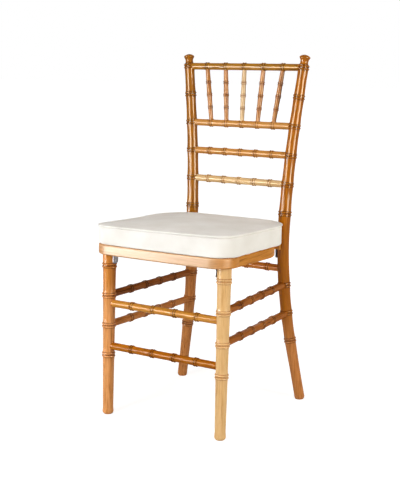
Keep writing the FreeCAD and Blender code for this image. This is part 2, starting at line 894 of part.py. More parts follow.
def at_zero(shape):
    return shape.copy()


def chair():
    """All pieces of the chair by name."""
    joinery = Joinery()
    sides = (at_zero, mirror_left)
    legs = {"front_right_leg": front_leg_blank(), "back_right_post": back_post_blank()}
    legs["front_left_leg"] = mirror_left(legs["front_right_leg"])
    legs["back_left_post"] = mirror_left(legs["back_right_post"])
    pieces = back_frame(joinery, legs["back_left_post"], legs["back_right_post"])
    pieces.update(stretchers(joinery, legs))
    pieces.update(seat_frame(sides))
    brackets, screws, pilots = bracket_set()
    pieces.update(brackets)

    leg_hole_depth = front_leg_tenon_length + socket_end_gap
    leg_hole = front_leg_tenon(front_leg_tenon_radius + socket_clearance, leg_hole_depth)
    post_hole_depth = seat_back_tenon_length + socket_end_gap
    post_hole = back_rail_tenon(seat_back_tenon_radius + socket_clearance, post_hole_depth)
    front_holes = [side(leg_hole) for side in sides] + pilots
    pieces["seat_front_rail"] = pieces["seat_front_rail"].cut(front_holes)
    pieces["seat_back_rail"] = pieces["seat_back_rail"].cut(pilots)
    for name, blank in legs.items():
        leg = joinery.finish(name, blank).cut(pilots)
        if "post" in name:
            leg = leg.cut([side(post_hole) for side in sides])
        pieces[name] = leg
    pieces["bracket_screws"] = Part.makeCompound(screws)
    pieces["cushion"] = cushion_blank()
    return pieces


def main():
    os.makedirs("parts", exist_ok=True)
    whole = FreeCAD.BoundBox()
    for name, shape in chair().items():
        shape.exportStep("parts/%s.step" % name)
        whole.add(shape.BoundBox)
        facts = (name, len(shape.Solids), shape.Volume, shape.isValid())
        print("%-24s solids %2d  volume %9.0f  valid %s" % facts)
    print("whole chair", whole)


main()
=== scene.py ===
import logging
import math
from dataclasses import dataclass, field
from enum import Enum
from typing import Any

import bpy
from mathutils import Matrix, Vector


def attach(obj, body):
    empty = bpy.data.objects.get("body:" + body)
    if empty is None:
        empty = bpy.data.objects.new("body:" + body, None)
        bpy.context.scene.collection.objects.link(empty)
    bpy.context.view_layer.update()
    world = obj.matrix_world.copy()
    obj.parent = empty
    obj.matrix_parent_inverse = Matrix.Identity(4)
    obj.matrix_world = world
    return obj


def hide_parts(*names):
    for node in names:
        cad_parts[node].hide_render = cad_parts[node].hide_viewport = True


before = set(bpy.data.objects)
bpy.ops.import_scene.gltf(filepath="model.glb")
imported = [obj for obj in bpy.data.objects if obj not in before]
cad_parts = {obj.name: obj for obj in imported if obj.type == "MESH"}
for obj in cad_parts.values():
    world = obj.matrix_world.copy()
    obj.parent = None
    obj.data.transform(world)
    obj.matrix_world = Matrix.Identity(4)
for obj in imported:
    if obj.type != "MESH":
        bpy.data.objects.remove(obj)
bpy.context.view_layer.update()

# A wooden banquet chair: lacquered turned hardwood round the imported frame, with a boxed,
# piped cushion that is made here by cloth simulation. Everything is in metres.

LOG = logging.getLogger("chair")

Colour = tuple[float, float, float, float]

MM = 0.001

# Beech's streaks run about 18 times as far along a stick as across it. Round the corners of the
# front rail the grain turns from X towards Y, so there it is drawn out along Y as well.
GRAIN_STRETCH = 0.055
CORNER_STRETCH = 0.15

# How far a step through the boards moves along X, Y and Z, so that no two sticks look alike.
BOARD_STEP = (1.0, 1.7, 0.6)

# The seat frame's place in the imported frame: it is tipped back round its front edge.
SEAT_TILT = math.radians(2.0)
SEAT_HINGE = Vector((0.0, -193.5 * MM, 426.2 * MM))
SEAT_FRAME_THICKNESS = 26.0 * MM


def linear(hex_colour: str) -> Colour:
    """Turn a colour written as sRGB hex into linear light.

    Args:
        hex_colour: Six hex digits with a leading hash.

    Returns:
        Red, green, blue and an alpha of 1.
    """
    channels = []
    for start in (1, 3, 5):
        value = int(hex_colour[start:start + 2], 16) / 255
        channels.append(value / 12.92 if value <= 0.04045 else ((value + 0.055) / 1.055) ** 2.4)
    return (*channels, 1.0)


def add_node(tree: bpy.types.NodeTree, kind: str, settings: dict[str, Any] | None = None,
             inputs: dict[Any, Any] | None = None) -> bpy.types.Node:
    """Add one node with its settings and links.

    Args:
        tree: The node tree that gets the node.
        kind: The node's type name.
        settings: Properties by name; "stops" gives a colour ramp's places and colours.
        inputs: By name or number, a socket to link from or a value to set.

    Returns:
        The new node.
    """
    node = tree.nodes.new(kind)
    for name, value in (settings or {}).items():
        if name != "stops":
            setattr(node, name, value)
            continue
        ramp = node.color_ramp
        while len(ramp.elements) < len(value):
            ramp.elements.new(1.0)
        for element, (place, colour) in zip(ramp.elements, value):
            element.position = place
            element.color = colour
    for name, value in (inputs or {}).items():
        if isinstance(value, bpy.types.NodeSocket):
            tree.links.new(value, node.inputs[name])
        else:
            node.inputs[name].default_value = value
    return node


def new_material(name: str) -> tuple[bpy.types.Material, bpy.types.NodeTree]:
    """Make an empty node material.

    Args:
        name: The material's name.

    Returns:
        The material and its cleared node tree.
    """
    material = bpy.data.materials.new(name)
    material.use_nodes = True
    material.node_tree.nodes.clear()
    return material, material.node_tree


def wear(piece: bpy.types.Object, material: bpy.types.Material) -> None:
    """Give a piece one material all over, through its object's slot.

    Args:
        piece: A new piece or a node of the frame.
        material: What it is to show.
    """
    if not piece.material_slots:
        piece.data.materials.append(material)
    for slot in piece.material_slots:
        slot.link = "OBJECT"
        slot.material = material


def only(piece: bpy.types.Object) -> None:
    """Select one object and nothing else.

    Args:
        piece: The object, which also becomes the active one.
    """
    bpy.ops.object.select_all(action="DESELECT")
    piece.select_set(True)
    bpy.context.view_layer.objects.active = piece


class Grain(Enum):
    """Which way the grain runs: the scale of the pattern along X, Y and Z."""

    ALONG_X = (GRAIN_STRETCH, 1.0, 1.0)
    ALONG_Y = (1.0, GRAIN_STRETCH, 1.0)
    ALONG_Z = (1.0, 1.0, GRAIN_STRETCH)
    ROUND_CORNER = (GRAIN_STRETCH, CORNER_STRETCH, 1.0)


class Axis(Enum):
    """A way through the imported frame."""

    ACROSS = "X"
    UP = "Z"


@dataclass(frozen=True)
class Tone:
    """Colours of one stick of wood under its lacquer.

    Args:
        light: Early wood between the growth rings.
        middle: The colour seen from afar.
        dark: Late wood, and the stain with painted shade in turned grooves.
        coat: How full the lacquer lies on it.
        haze: How soft the lacquer's reflections are.
        groove: The stain and painted shade in turned grooves, laid over the dark colour.
    """

    light: str
    middle: str
    dark: str
    coat: float = 0.25
    haze: float = 0.18
    groove: str = "#B98A58"


class Stick(Enum):
    """Tones of the chair's sticks, as no two come from the same board; some hold painted shade or a painted
    reflection.
    """

    PALE = Tone("#ECC58E", "#E3B679", "#BC8446", groove="#E2BC96")
    CREAM = Tone("#DFBF8D", "#D7B079", "#B78146")
    # Painted reflection: the front rail's own ginger wood drawn pale where the lamps' reflection lies.
    BISQUE = Tone("#D8AC86", "#CDA176", "#BA895D", coat=0.42, haze=0.34)
    WHEAT = Tone("#D6BA96", "#CAA779", "#A57440")
    STRAW = Tone("#BD8347", "#AB6B32", "#76411B")
    HONEY = Tone("#D79742", "#CB8730", "#92571D", coat=0.19, groove="#7C4A28")
    FAWN = Tone("#EEAD6F", "#E09755", "#955922")
    # Fawn darkened by painted shade, for the top of the front left leg under the seat.
    SPICE = Tone("#DF9542", "#D28231", "#8C4C11")
    TAN = Tone("#CF9751", "#C3843D", "#8A521C")
    GINGER = Tone("#D38E3B", "#C27C2B", "#824B15", coat=0.16)
    COPPER = Tone("#F79B3C", "#E9882C", "#975417", groove="#7C4A28")
    AMBER = Tone("#B66B0D", "#A35D06", "#4D2203", haze=0.1)
    TOBACCO = Tone("#A96A11", "#975A09", "#4A2303", haze=0.1)
    TEAK = Tone("#B77D28", "#A36C19", "#4C2705", coat=0.32, haze=0.16)
    ACORN = Tone("#CF8A4D", "#BE783B", "#71411B")
    RUSSET = Tone("#CD8A4D", "#B97336", "#62300E", coat=0.22)
    SIENNA = Tone("#BD7215", "#AA5E0D", "#5D2A04", coat=0.12, groove="#7C4A28")
    CHESTNUT = Tone("#B56C23", "#9B5613", "#3F1C05", coat=0.2, groove="#A87A50")
    # A chestnut tone darkened by painted shade, for a stretcher in the seat's shadow.
    WALNUT = Tone("#A16334", "#894D1A", "#3D1D07", coat=0.16)


@dataclass(frozen=True)
class Fade:
    """A second tone that takes over toward a stick's end.

    Args:
        stick: The second tone.
        axis: Along what it takes over: across from the chair's middle, or up from the floor.
        start: Where the second tone begins, in metres.
        end: Where it has taken over.
    """

    stick: Stick
    axis: Axis
    start: float
    end: float


# To the eye: warm streaks along the stick, short darker pores, stain and painted shade in the
# turned grooves, darkest where a groove is most closed in, and narrow highlights. These come from
# the clear coat, so the wood under it has no gloss of its own. The rings are as wide as beech's
# rings on a turned face. Its pores are 0.1 mm wide, too fine to show, so they are drawn 0.9 mm wide.
@dataclass(frozen=True)
class LacqueredHardwood:
    """Turned beech, stained and spray-lacquered: streaky grain under a clear glossy coat.

    Args:
        name: The material's name.
        tone: The stick's colours.
        grain: Which way its grain runs.
        shift: Where in the board it was cut.
        fade: The tone that takes over toward its end, if there is one.
        ring_width: Width of a growth ring.
        fibre_width: Width of a pore.
        cloud_width: Size of the plainer patches.
        groove_reach: How near two faces are in a groove that holds stain and painted shade.
        ring_stops: Where dark, middle and light wood stand in the rings' noise.
        pore_band: Where in the fibres' noise a pore ends.
        pore_share: How much of the dark colour a pore has.
        cloud_band: Where in the clouds' noise the plainer patches begin and are full.
        cloud_share: How much of the middle colour a patch has.
        groove_stain_and_shade_band: How open a groove is where it is full of stain and painted shade, and
            where it has none.
        haze_range: Roughness of the wood under the coat.
        fibre_depth: Height of the fibres in the relief.
    """

    name: str
    tone: Tone
    grain: Grain
    shift: float
    fade: Fade | None = None
    ring_width: float = 4.5 * MM
    fibre_width: float = 0.9 * MM
    cloud_width: float = 55.0 * MM
    groove_reach: float = 3.2 * MM
    ring_stops: tuple[float, float, float] = (0.24, 0.43, 0.66)
    pore_band: tuple[float, float] = (0.34, 0.46)
    pore_share: float = 0.28
    cloud_band: tuple[float, float] = (0.35, 0.65)
    cloud_share: float = 0.45
    groove_stain_and_shade_band: tuple[float, float] = (0.78, 0.97)
    haze_range: tuple[float, float] = (0.34, 0.46)
    fibre_depth: float = 0.12 * MM

    def figure(self, tree: bpy.types.NodeTree, rings: bpy.types.Node, tone: Tone) -> bpy.types.NodeSocket:
        """Colour the growth rings in one tone.

        Args:
            tree: The node tree to add to.
            rings: The noise that stands for the growth rings.
            tone: The tone.

        Returns:
            The streaky colour.
        """
        colours = (linear(tone.dark), linear(tone.middle), linear(tone.light))
        return add_node(tree, "ShaderNodeValToRGB", {"stops": tuple(zip(self.ring_stops, colours))}, {
            "Fac": rings.outputs["Fac"],
        }).outputs["Color"]

    def blend(self, tree: bpy.types.NodeTree, rings: bpy.types.Node, wood: bpy.types.NodeSocket,
              middle: Colour) -> tuple[bpy.types.NodeSocket, bpy.types.NodeSocket]:
        """Let the second tone take over along its axis.

        Args:
            tree: The node tree to add to.
            rings: The noise that stands for the growth rings.
            wood: The first tone's streaky colour.
            middle: The first tone's middle colour.

        Returns:
            The streaky colour and the middle colour, both blended.
        """
        second = self.fade.stick.value
        place = add_node(tree, "ShaderNodeTexCoord")
        split = add_node(tree, "ShaderNodeSeparateXYZ", {}, {"Vector": place.outputs["Object"]})
        way = add_node(tree, "ShaderNodeMath", {"operation": "ABSOLUTE"}, {
            0: split.outputs[self.fade.axis.value],
        })
        share = add_node(tree, "ShaderNodeMapRange", {}, {
            "Value": way.outputs[0], "From Min": self.fade.start, "From Max": self.fade.end,
        })
        pairs = ((wood, self.figure(tree, rings, second)), (middle, linear(second.middle)))
        blended = [add_node(tree, "ShaderNodeMix", {"data_type": "RGBA"}, {
            "Factor": share.outputs["Result"], "A": first, "B": other,
        }).outputs[2] for first, other in pairs]
        return blended[0], blended[1]

    def make(self) -> bpy.types.Material:
        """Build the material.

        Returns:
            The finished material.
        """
        material, tree = new_material(self.name)
        place = add_node(tree, "ShaderNodeTexCoord")
        along = add_node(tree, "ShaderNodeMapping", inputs={
            "Vector": place.outputs["Object"],
            "Location": tuple(self.shift * step for step in BOARD_STEP),
            "Scale": self.grain.value,
        })
        rings = add_node(tree, "ShaderNodeTexNoise", inputs={
            "Vector": along.outputs["Vector"], "Scale": 1 / self.ring_width, "Detail": 3.0,
            "Roughness": 0.55, "Distortion": 0.6,
        })
        fibres = add_node(tree, "ShaderNodeTexNoise", inputs={
            "Vector": along.outputs["Vector"], "Scale": 1 / self.fibre_width, "Detail": 2.0,
            "Roughness": 0.6,
        })
        clouds = add_node(tree, "ShaderNodeTexNoise", inputs={
            "Vector": along.outputs["Vector"], "Scale": 1 / self.cloud_width, "Detail": 2.0,
        })
        wood, middle = self.figure(tree, rings, self.tone), linear(self.tone.middle)
        if self.fade:
            wood, middle = self.blend(tree, rings, wood, middle)
        pores = add_node(tree, "ShaderNodeMapRange", {}, {
            "Value": fibres.outputs["Fac"], "From Min": self.pore_band[0], "From Max": self.pore_band[1],
            "To Min": self.pore_share, "To Max": 0.0,
        })
        with_pores = add_node(tree, "ShaderNodeMix", {"data_type": "RGBA"}, {
            "Factor": pores.outputs["Result"], "A": wood, "B": linear(self.tone.dark),
        })
        patches = add_node(tree, "ShaderNodeMapRange", {}, {
            "Value": clouds.outputs["Fac"], "From Min": self.cloud_band[0], "From Max": self.cloud_band[1],
            "To Min": 0.0, "To Max": self.cloud_share,
        })
        with_clouds = add_node(tree, "ShaderNodeMix", {"data_type": "RGBA"}, {
            "Factor": patches.outputs["Result"], "A": with_pores.outputs[2], "B": middle,
        })
        # Stain and painted shade in the turned grooves: the more closed in a point is, the more of the groove
        # colour it gets.
        crevice = add_node(tree, "ShaderNodeAmbientOcclusion", {"only_local": True, "samples": 12}, {
            "Distance": self.groove_reach,
        })
        groove_stain_and_painted_shade = add_node(tree, "ShaderNodeMapRange", {}, {
            "Value": crevice.outputs["AO"], "From Min": self.groove_stain_and_shade_band[0], "From Max": self.groove_stain_and_shade_band[1],
            "To Min": 1.0, "To Max": 0.0,
        })
        tint = zip(linear(self.tone.dark), linear(self.tone.groove))
        groove = tuple(dark * share for dark, share in tint)
        with_groove_stain_and_painted_shade = add_node(tree, "ShaderNodeMix", {"data_type": "RGBA"}, {
            "Factor": groove_stain_and_painted_shade.outputs["Result"], "A": with_clouds.outputs[2], "B": groove,
        })
        gloss = add_node(tree, "ShaderNodeMapRange", {}, {
            "Value": clouds.outputs["Fac"], "To Min": self.haze_range[0], "To Max": self.haze_range[1],
        })
        relief = add_node(tree, "ShaderNodeBump", {}, {
            "Height": fibres.outputs["Fac"], "Strength": 0.25, "Distance": self.fibre_depth,
        })
        surface = add_node(tree, "ShaderNodeBsdfPrincipled", {}, {
            "Base Color": with_groove_stain_and_painted_shade.outputs[2], "Roughness": gloss.outputs["Result"],
            "Normal": relief.outputs["Normal"], "Specular IOR Level": 0.0,
            "Coat Weight": self.tone.coat, "Coat Roughness": self.tone.haze, "Coat IOR": 1.5,
        })
        add_node(tree, "ShaderNodeOutputMaterial", {}, {"Surface": surface.outputs["BSDF"]})
        return material


# To the eye: pale and matt, with the broad wavy figure of rotary-cut birch, drawn at its real size.
@dataclass(frozen=True)
class BirchPlywood:
    """Bare sanded birch plywood: pale, flat, with faint rotary-cut figure.

    Args:
        name: The material's name.
        light: Early wood.
        dark: Late wood.
        figure_width: Width of one wave of the figure.
        figure_stretch: Scale of the figure along X, where it is drawn out.
        figure_band: Where in the noise the wood is dark, and where it is light.
        figure_depth: Height of the figure in the relief.
    """

    name: str = "birch_plywood"
    light: str = "#DCBE92"
    dark: str = "#B8915E"
    figure_width: float = 26.0 * MM
    figure_stretch: float = 0.18
    figure_band: tuple[float, float] = (0.32, 0.6)
    figure_depth: float = 0.2 * MM

    def make(self) -> bpy.types.Material:
        """Build the material.

        Returns:
            The finished material.
        """
        material, tree = new_material(self.name)
        place = add_node(tree, "ShaderNodeTexCoord")
        along = add_node(tree, "ShaderNodeMapping", inputs={
            "Vector": place.outputs["Object"], "Scale": (self.figure_stretch, 1.0, 1.0),
        })
        figure = add_node(tree, "ShaderNodeTexNoise", inputs={
            "Vector": along.outputs["Vector"], "Scale": 1 / self.figure_width, "Detail": 6.0,
            "Distortion": 1.4,
        })
        colours = add_node(tree, "ShaderNodeValToRGB", {"stops": (
            (self.figure_band[0], linear(self.dark)), (self.figure_band[1], linear(self.light)),
        )}, {"Fac": figure.outputs["Fac"]})
        relief = add_node(tree, "ShaderNodeBump", {}, {
            "Height": figure.outputs["Fac"], "Strength": 0.3, "Distance": self.figure_depth,
        })
        surface = add_node(tree, "ShaderNodeBsdfPrincipled", {}, {
            "Base Color": colours.outputs["Color"], "Roughness": 0.62, "Normal": relief.outputs["Normal"],
        })
        add_node(tree, "ShaderNodeOutputMaterial", {}, {"Surface": surface.outputs["BSDF"]})
        return material


# To the eye: cool grey metal, softly mottled by the zinc's crystals, which are drawn at their
# real size, and so dulled by handling that lamps show in it only as broad pale patches.
@dataclass(frozen=True)
class ZincPlate:
    """Pressed steel with zinc plating that has gone dull: cool grey, softly mottled.

    Args:
        name: The material's name.
        light: The brighter crystals.
        dark: The darker crystals.
        mottle_width: Size of a crystal.
        mottle_band: Where in the noise the metal is dark, and where it is light.
        dullness: Roughness of the dark and of the light crystals.
    """

    name: str
    light: str = "#8E8D94"
    dark: str = "#6A6972"
    mottle_width: float = 3.0 * MM
    mottle_band: tuple[float, float] = (0.35, 0.65)
    dullness: tuple[float, float] = (0.6, 0.74)

    def make(self) -> bpy.types.Material:
        """Build the material.

        Returns:
            The finished material.
        """
        material, tree = new_material(self.name)
        place = add_node(tree, "ShaderNodeTexCoord")
        mottle = add_node(tree, "ShaderNodeTexNoise", inputs={
            "Vector": place.outputs["Object"], "Scale": 1 / self.mottle_width, "Detail": 3.0,
        })
        colours = add_node(tree, "ShaderNodeValToRGB", {"stops": (
            (self.mottle_band[0], linear(self.dark)), (self.mottle_band[1], linear(self.light)),
        )}, {"Fac": mottle.outputs["Fac"]})
        roughness = add_node(tree, "ShaderNodeMapRange", {}, {
            "Value": mottle.outputs["Fac"], "To Min": self.dullness[0], "To Max": self.dullness[1],
        })
        surface = add_node(tree, "ShaderNodeBsdfPrincipled", {}, {
            "Base Color": colours.outputs["Color"], "Metallic": 1.0,
            "Roughness": roughness.outputs["Result"],
        })
        add_node(tree, "ShaderNodeOutputMaterial", {}, {"Surface": surface.outputs["BSDF"]})
        return material


# To the eye: matt ivory with a fine even weave, faint clouds of painted shade as over uneven filling,
# and a painted grey shade where the cover is drawn in at its seams and where it lies on the wood.
# The real threads are 0.4 mm apart, too fine to show, so they are drawn 1 mm apart.
@dataclass(frozen=True)
class WovenPolyester:
    """Ivory polyester canvas: matt, with a fine plain weave and shaded seams.

    Args:
        name: The material's name.
        light: The cloth in full light.
        dark: Between the threads, and in the clouds of painted shade.
        shadow: The cloth at a seam.
        seam_width: How near two faces are at a seam.
        thread_gap: Distance from thread to thread.
        cloud_width: Size of the clouds.
        cloud_band: Where in the noise the cloth is dark, and where it is light.
        gap_band: Height of the weave where a gap is deepest, and where it ends.
        gap_share: How much of the dark colour a gap has.
        seam_band: How open a seam is where it is fully shaded, and where it isn't shaded.
        seam_share: How much of the shadow colour a seam has.
        thread_height: Height of the threads in the relief.
    """

    name: str = "ivory_canvas"
    light: str = "#FCFAF5"
    dark: str = "#F2EFE8"
    shadow: str = "#B9B1A2"
    seam_width: float = 3.5 * MM
    thread_gap: float = 1.0 * MM
    cloud_width: float = 70.0 * MM
    cloud_band: tuple[float, float] = (0.3, 0.7)
    gap_band: tuple[float, float] = (0.3, 1.5)
    gap_share: float = 0.35
    seam_band: tuple[float, float] = (0.35, 0.85)
    seam_share: float = 0.35
    thread_height: float = 0.15 * MM

    def weave(self, tree: bpy.types.NodeTree, place: bpy.types.Node) -> bpy.types.NodeSocket:
        """Draw threads across all three axes, so that every side of the cushion shows two of them.

        Args:
            tree: The node tree to add to.
            place: The texture coordinates.

        Returns:
            The height of the weave.
        """
        split = add_node(tree, "ShaderNodeSeparateXYZ", {}, {"Vector": place.outputs["Object"]})
        threads = []
        for axis in ("X", "Y", "Z"):
            turns = add_node(tree, "ShaderNodeMath", {"operation": "MULTIPLY"}, {
                0: split.outputs[axis], 1: math.pi / self.thread_gap,
            })
            wave = add_node(tree, "ShaderNodeMath", {"operation": "SINE"}, {0: turns.outputs[0]})
            thread = add_node(tree, "ShaderNodeMath", {"operation": "ABSOLUTE"}, {0: wave.outputs[0]})
            threads.append(thread.outputs[0])
        height = threads[0]
        for thread in threads[1:]:
            height = add_node(tree, "ShaderNodeMath", {"operation": "ADD"}, {0: height, 1: thread}).outputs[0]
        return height

    def make(self) -> bpy.types.Material:
        """Build the material.

        Returns:
            The finished material.
        """
        material, tree = new_material(self.name)
        place = add_node(tree, "ShaderNodeTexCoord")
        height = self.weave(tree, place)
        # Clouds of faint painted shade, as over uneven filling.
        clouds = add_node(tree, "ShaderNodeTexNoise", inputs={
            "Vector": place.outputs["Object"], "Scale": 1 / self.cloud_width, "Detail": 3.0,
        })
        shade = add_node(tree, "ShaderNodeValToRGB", {"stops": (
            (self.cloud_band[0], linear(self.dark)), (self.cloud_band[1], linear(self.light)),
        )}, {"Fac": clouds.outputs["Fac"]})
        between = add_node(tree, "ShaderNodeMapRange", {}, {
            "Value": height, "From Min": self.gap_band[0], "From Max": self.gap_band[1],
            "To Min": self.gap_share, "To Max": 0.0,
        })
        colour = add_node(tree, "ShaderNodeMix", {"data_type": "RGBA"}, {
            "Factor": between.outputs["Result"], "A": shade.outputs["Color"], "B": linear(self.dark),
        })
        # Painted shade: grey laid over the cloth at its seams and where it lies against the wood, the more so
        # the more closed in a point is.
        seam = add_node(tree, "ShaderNodeAmbientOcclusion", {"samples": 12}, {"Distance": self.seam_width})
        painted_seam_shade = add_node(tree, "ShaderNodeMapRange", {}, {
            "Value": seam.outputs["AO"], "From Min": self.seam_band[0], "From Max": self.seam_band[1],
            "To Min": self.seam_share, "To Max": 0.0,
        })
        with_painted_seam_shade = add_node(tree, "ShaderNodeMix", {"data_type": "RGBA"}, {
            "Factor": painted_seam_shade.outputs["Result"], "A": colour.outputs[2], "B": linear(self.shadow),
        })
        relief = add_node(tree, "ShaderNodeBump", {}, {
            "Height": height, "Strength": 0.3, "Distance": self.thread_height,
        })
        surface = add_node(tree, "ShaderNodeBsdfPrincipled", {}, {
            "Base Color": with_painted_seam_shade.outputs[2], "Roughness": 0.85, "Normal": relief.outputs["Normal"],
            "Specular IOR Level": 0.0,
        })
        add_node(tree, "ShaderNodeOutputMaterial", {}, {"Surface": surface.outputs["BSDF"]})
        return material


@dataclass
class WoodFrame:
    """The turned and sawn wood of the frame, each stick with its own tone and grain.

    Args:
        sticks: Tone and grain of each node.
        fades: The second tone of the nodes that have one.
        board_shift: How far apart in the board two sticks were cut.
    """

    sticks: dict[str, tuple[Stick, Grain]] = field(default_factory=lambda: {
        "front_right_leg": (Stick.PALE, Grain.ALONG_Z),
        "front_left_leg": (Stick.FAWN, Grain.ALONG_Z),
        "back_right_post": (Stick.AMBER, Grain.ALONG_Z),
        "back_left_post": (Stick.TOBACCO, Grain.ALONG_Z),
        "top_rail": (Stick.TEAK, Grain.ALONG_X),
        "spindle_rail": (Stick.TAN, Grain.ALONG_X),
        "middle_rail": (Stick.TAN, Grain.ALONG_X),
        "lower_rail": (Stick.CREAM, Grain.ALONG_X),
        "spindle_1": (Stick.STRAW, Grain.ALONG_Z),
        "spindle_2": (Stick.STRAW, Grain.ALONG_Z),
        "spindle_3": (Stick.WHEAT, Grain.ALONG_Z),
        "spindle_4": (Stick.STRAW, Grain.ALONG_Z),
        "spindle_5": (Stick.STRAW, Grain.ALONG_Z),
        "front_upper_stretcher": (Stick.HONEY, Grain.ALONG_X),
        "front_lower_stretcher": (Stick.SIENNA, Grain.ALONG_X),
        "right_upper_stretcher": (Stick.CHESTNUT, Grain.ALONG_Y),
        "right_lower_stretcher": (Stick.CHESTNUT, Grain.ALONG_Y),
        # Painted shade: this stretcher lies in the seat's shadow.
        "left_upper_stretcher": (Stick.WALNUT, Grain.ALONG_Y),
        "left_lower_stretcher": (Stick.RUSSET, Grain.ALONG_Y),
        "back_stretcher": (Stick.COPPER, Grain.ALONG_X),
        "seat_front_rail": (Stick.BISQUE, Grain.ROUND_CORNER),
        "seat_right_rail": (Stick.GINGER, Grain.ALONG_Y),
        "seat_left_rail": (Stick.GINGER, Grain.ALONG_Y),
        "seat_back_rail": (Stick.TAN, Grain.ALONG_X),
    })

    fades: dict[str, Fade] = field(default_factory=lambda: {
        # Painted shade: the front left leg darkens toward its top, under the seat.
        "front_left_leg": Fade(Stick.SPICE, Axis.UP, start=0.27, end=0.36),
        "back_right_post": Fade(Stick.ACORN, Axis.UP, start=0.26, end=0.14),
        "back_left_post": Fade(Stick.ACORN, Axis.UP, start=0.42, end=0.28),
        # Painted reflection: the front rail's pale middle gives way to its own ginger at the corners.
        "seat_front_rail": Fade(Stick.GINGER, Axis.ACROSS, start=0.15, end=0.2),
    })
    board_shift: float = 0.31

    def dress(self) -> None:
        """Give every stick its lacquered wood."""
        for number, (node, (stick, grain)) in enumerate(self.sticks.items()):
            finish = LacqueredHardwood(
                "lacquered_beech_" + node, stick.value, grain, self.board_shift * number,
                self.fades.get(node),
            )
            wear(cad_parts[node], finish.make())
            LOG.info("%s: %s, grain %s", node, stick.name.lower(), grain.name.lower())


@dataclass
class SeatFittings:
    """The plywood panel and the zinc-plated brackets and screws under the seat.

    Args:
        panel: The panel's node.
        brackets: The brackets' nodes.
        screws: The node of all the screws.
        plate: The brackets' finish.
        heads: The screws' finish: newer, so paler, with smaller crystals.
    """

    panel: str = "seat_panel"
    brackets: tuple[str, ...] = (
        "front_right_bracket", "front_left_bracket", "back_right_bracket", "back_left_bracket",
    )
    screws: str = "bracket_screws"
    plate: ZincPlate = ZincPlate("zinc_plate")
    heads: ZincPlate = ZincPlate("zinc_screws", "#A5A5AB", "#7D7E86", 1.5 * MM)

    def dress(self) -> None:
        """Give panel, brackets and screws their finishes."""
        plate = self.plate.make()
        finishes = {self.panel: BirchPlywood().make(), self.screws: self.heads.make()}
        finishes.update({node: plate for node in self.brackets})
        for node, material in finishes.items():
            wear(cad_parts[node], material)
            LOG.info("%s: %s", node, material.name)


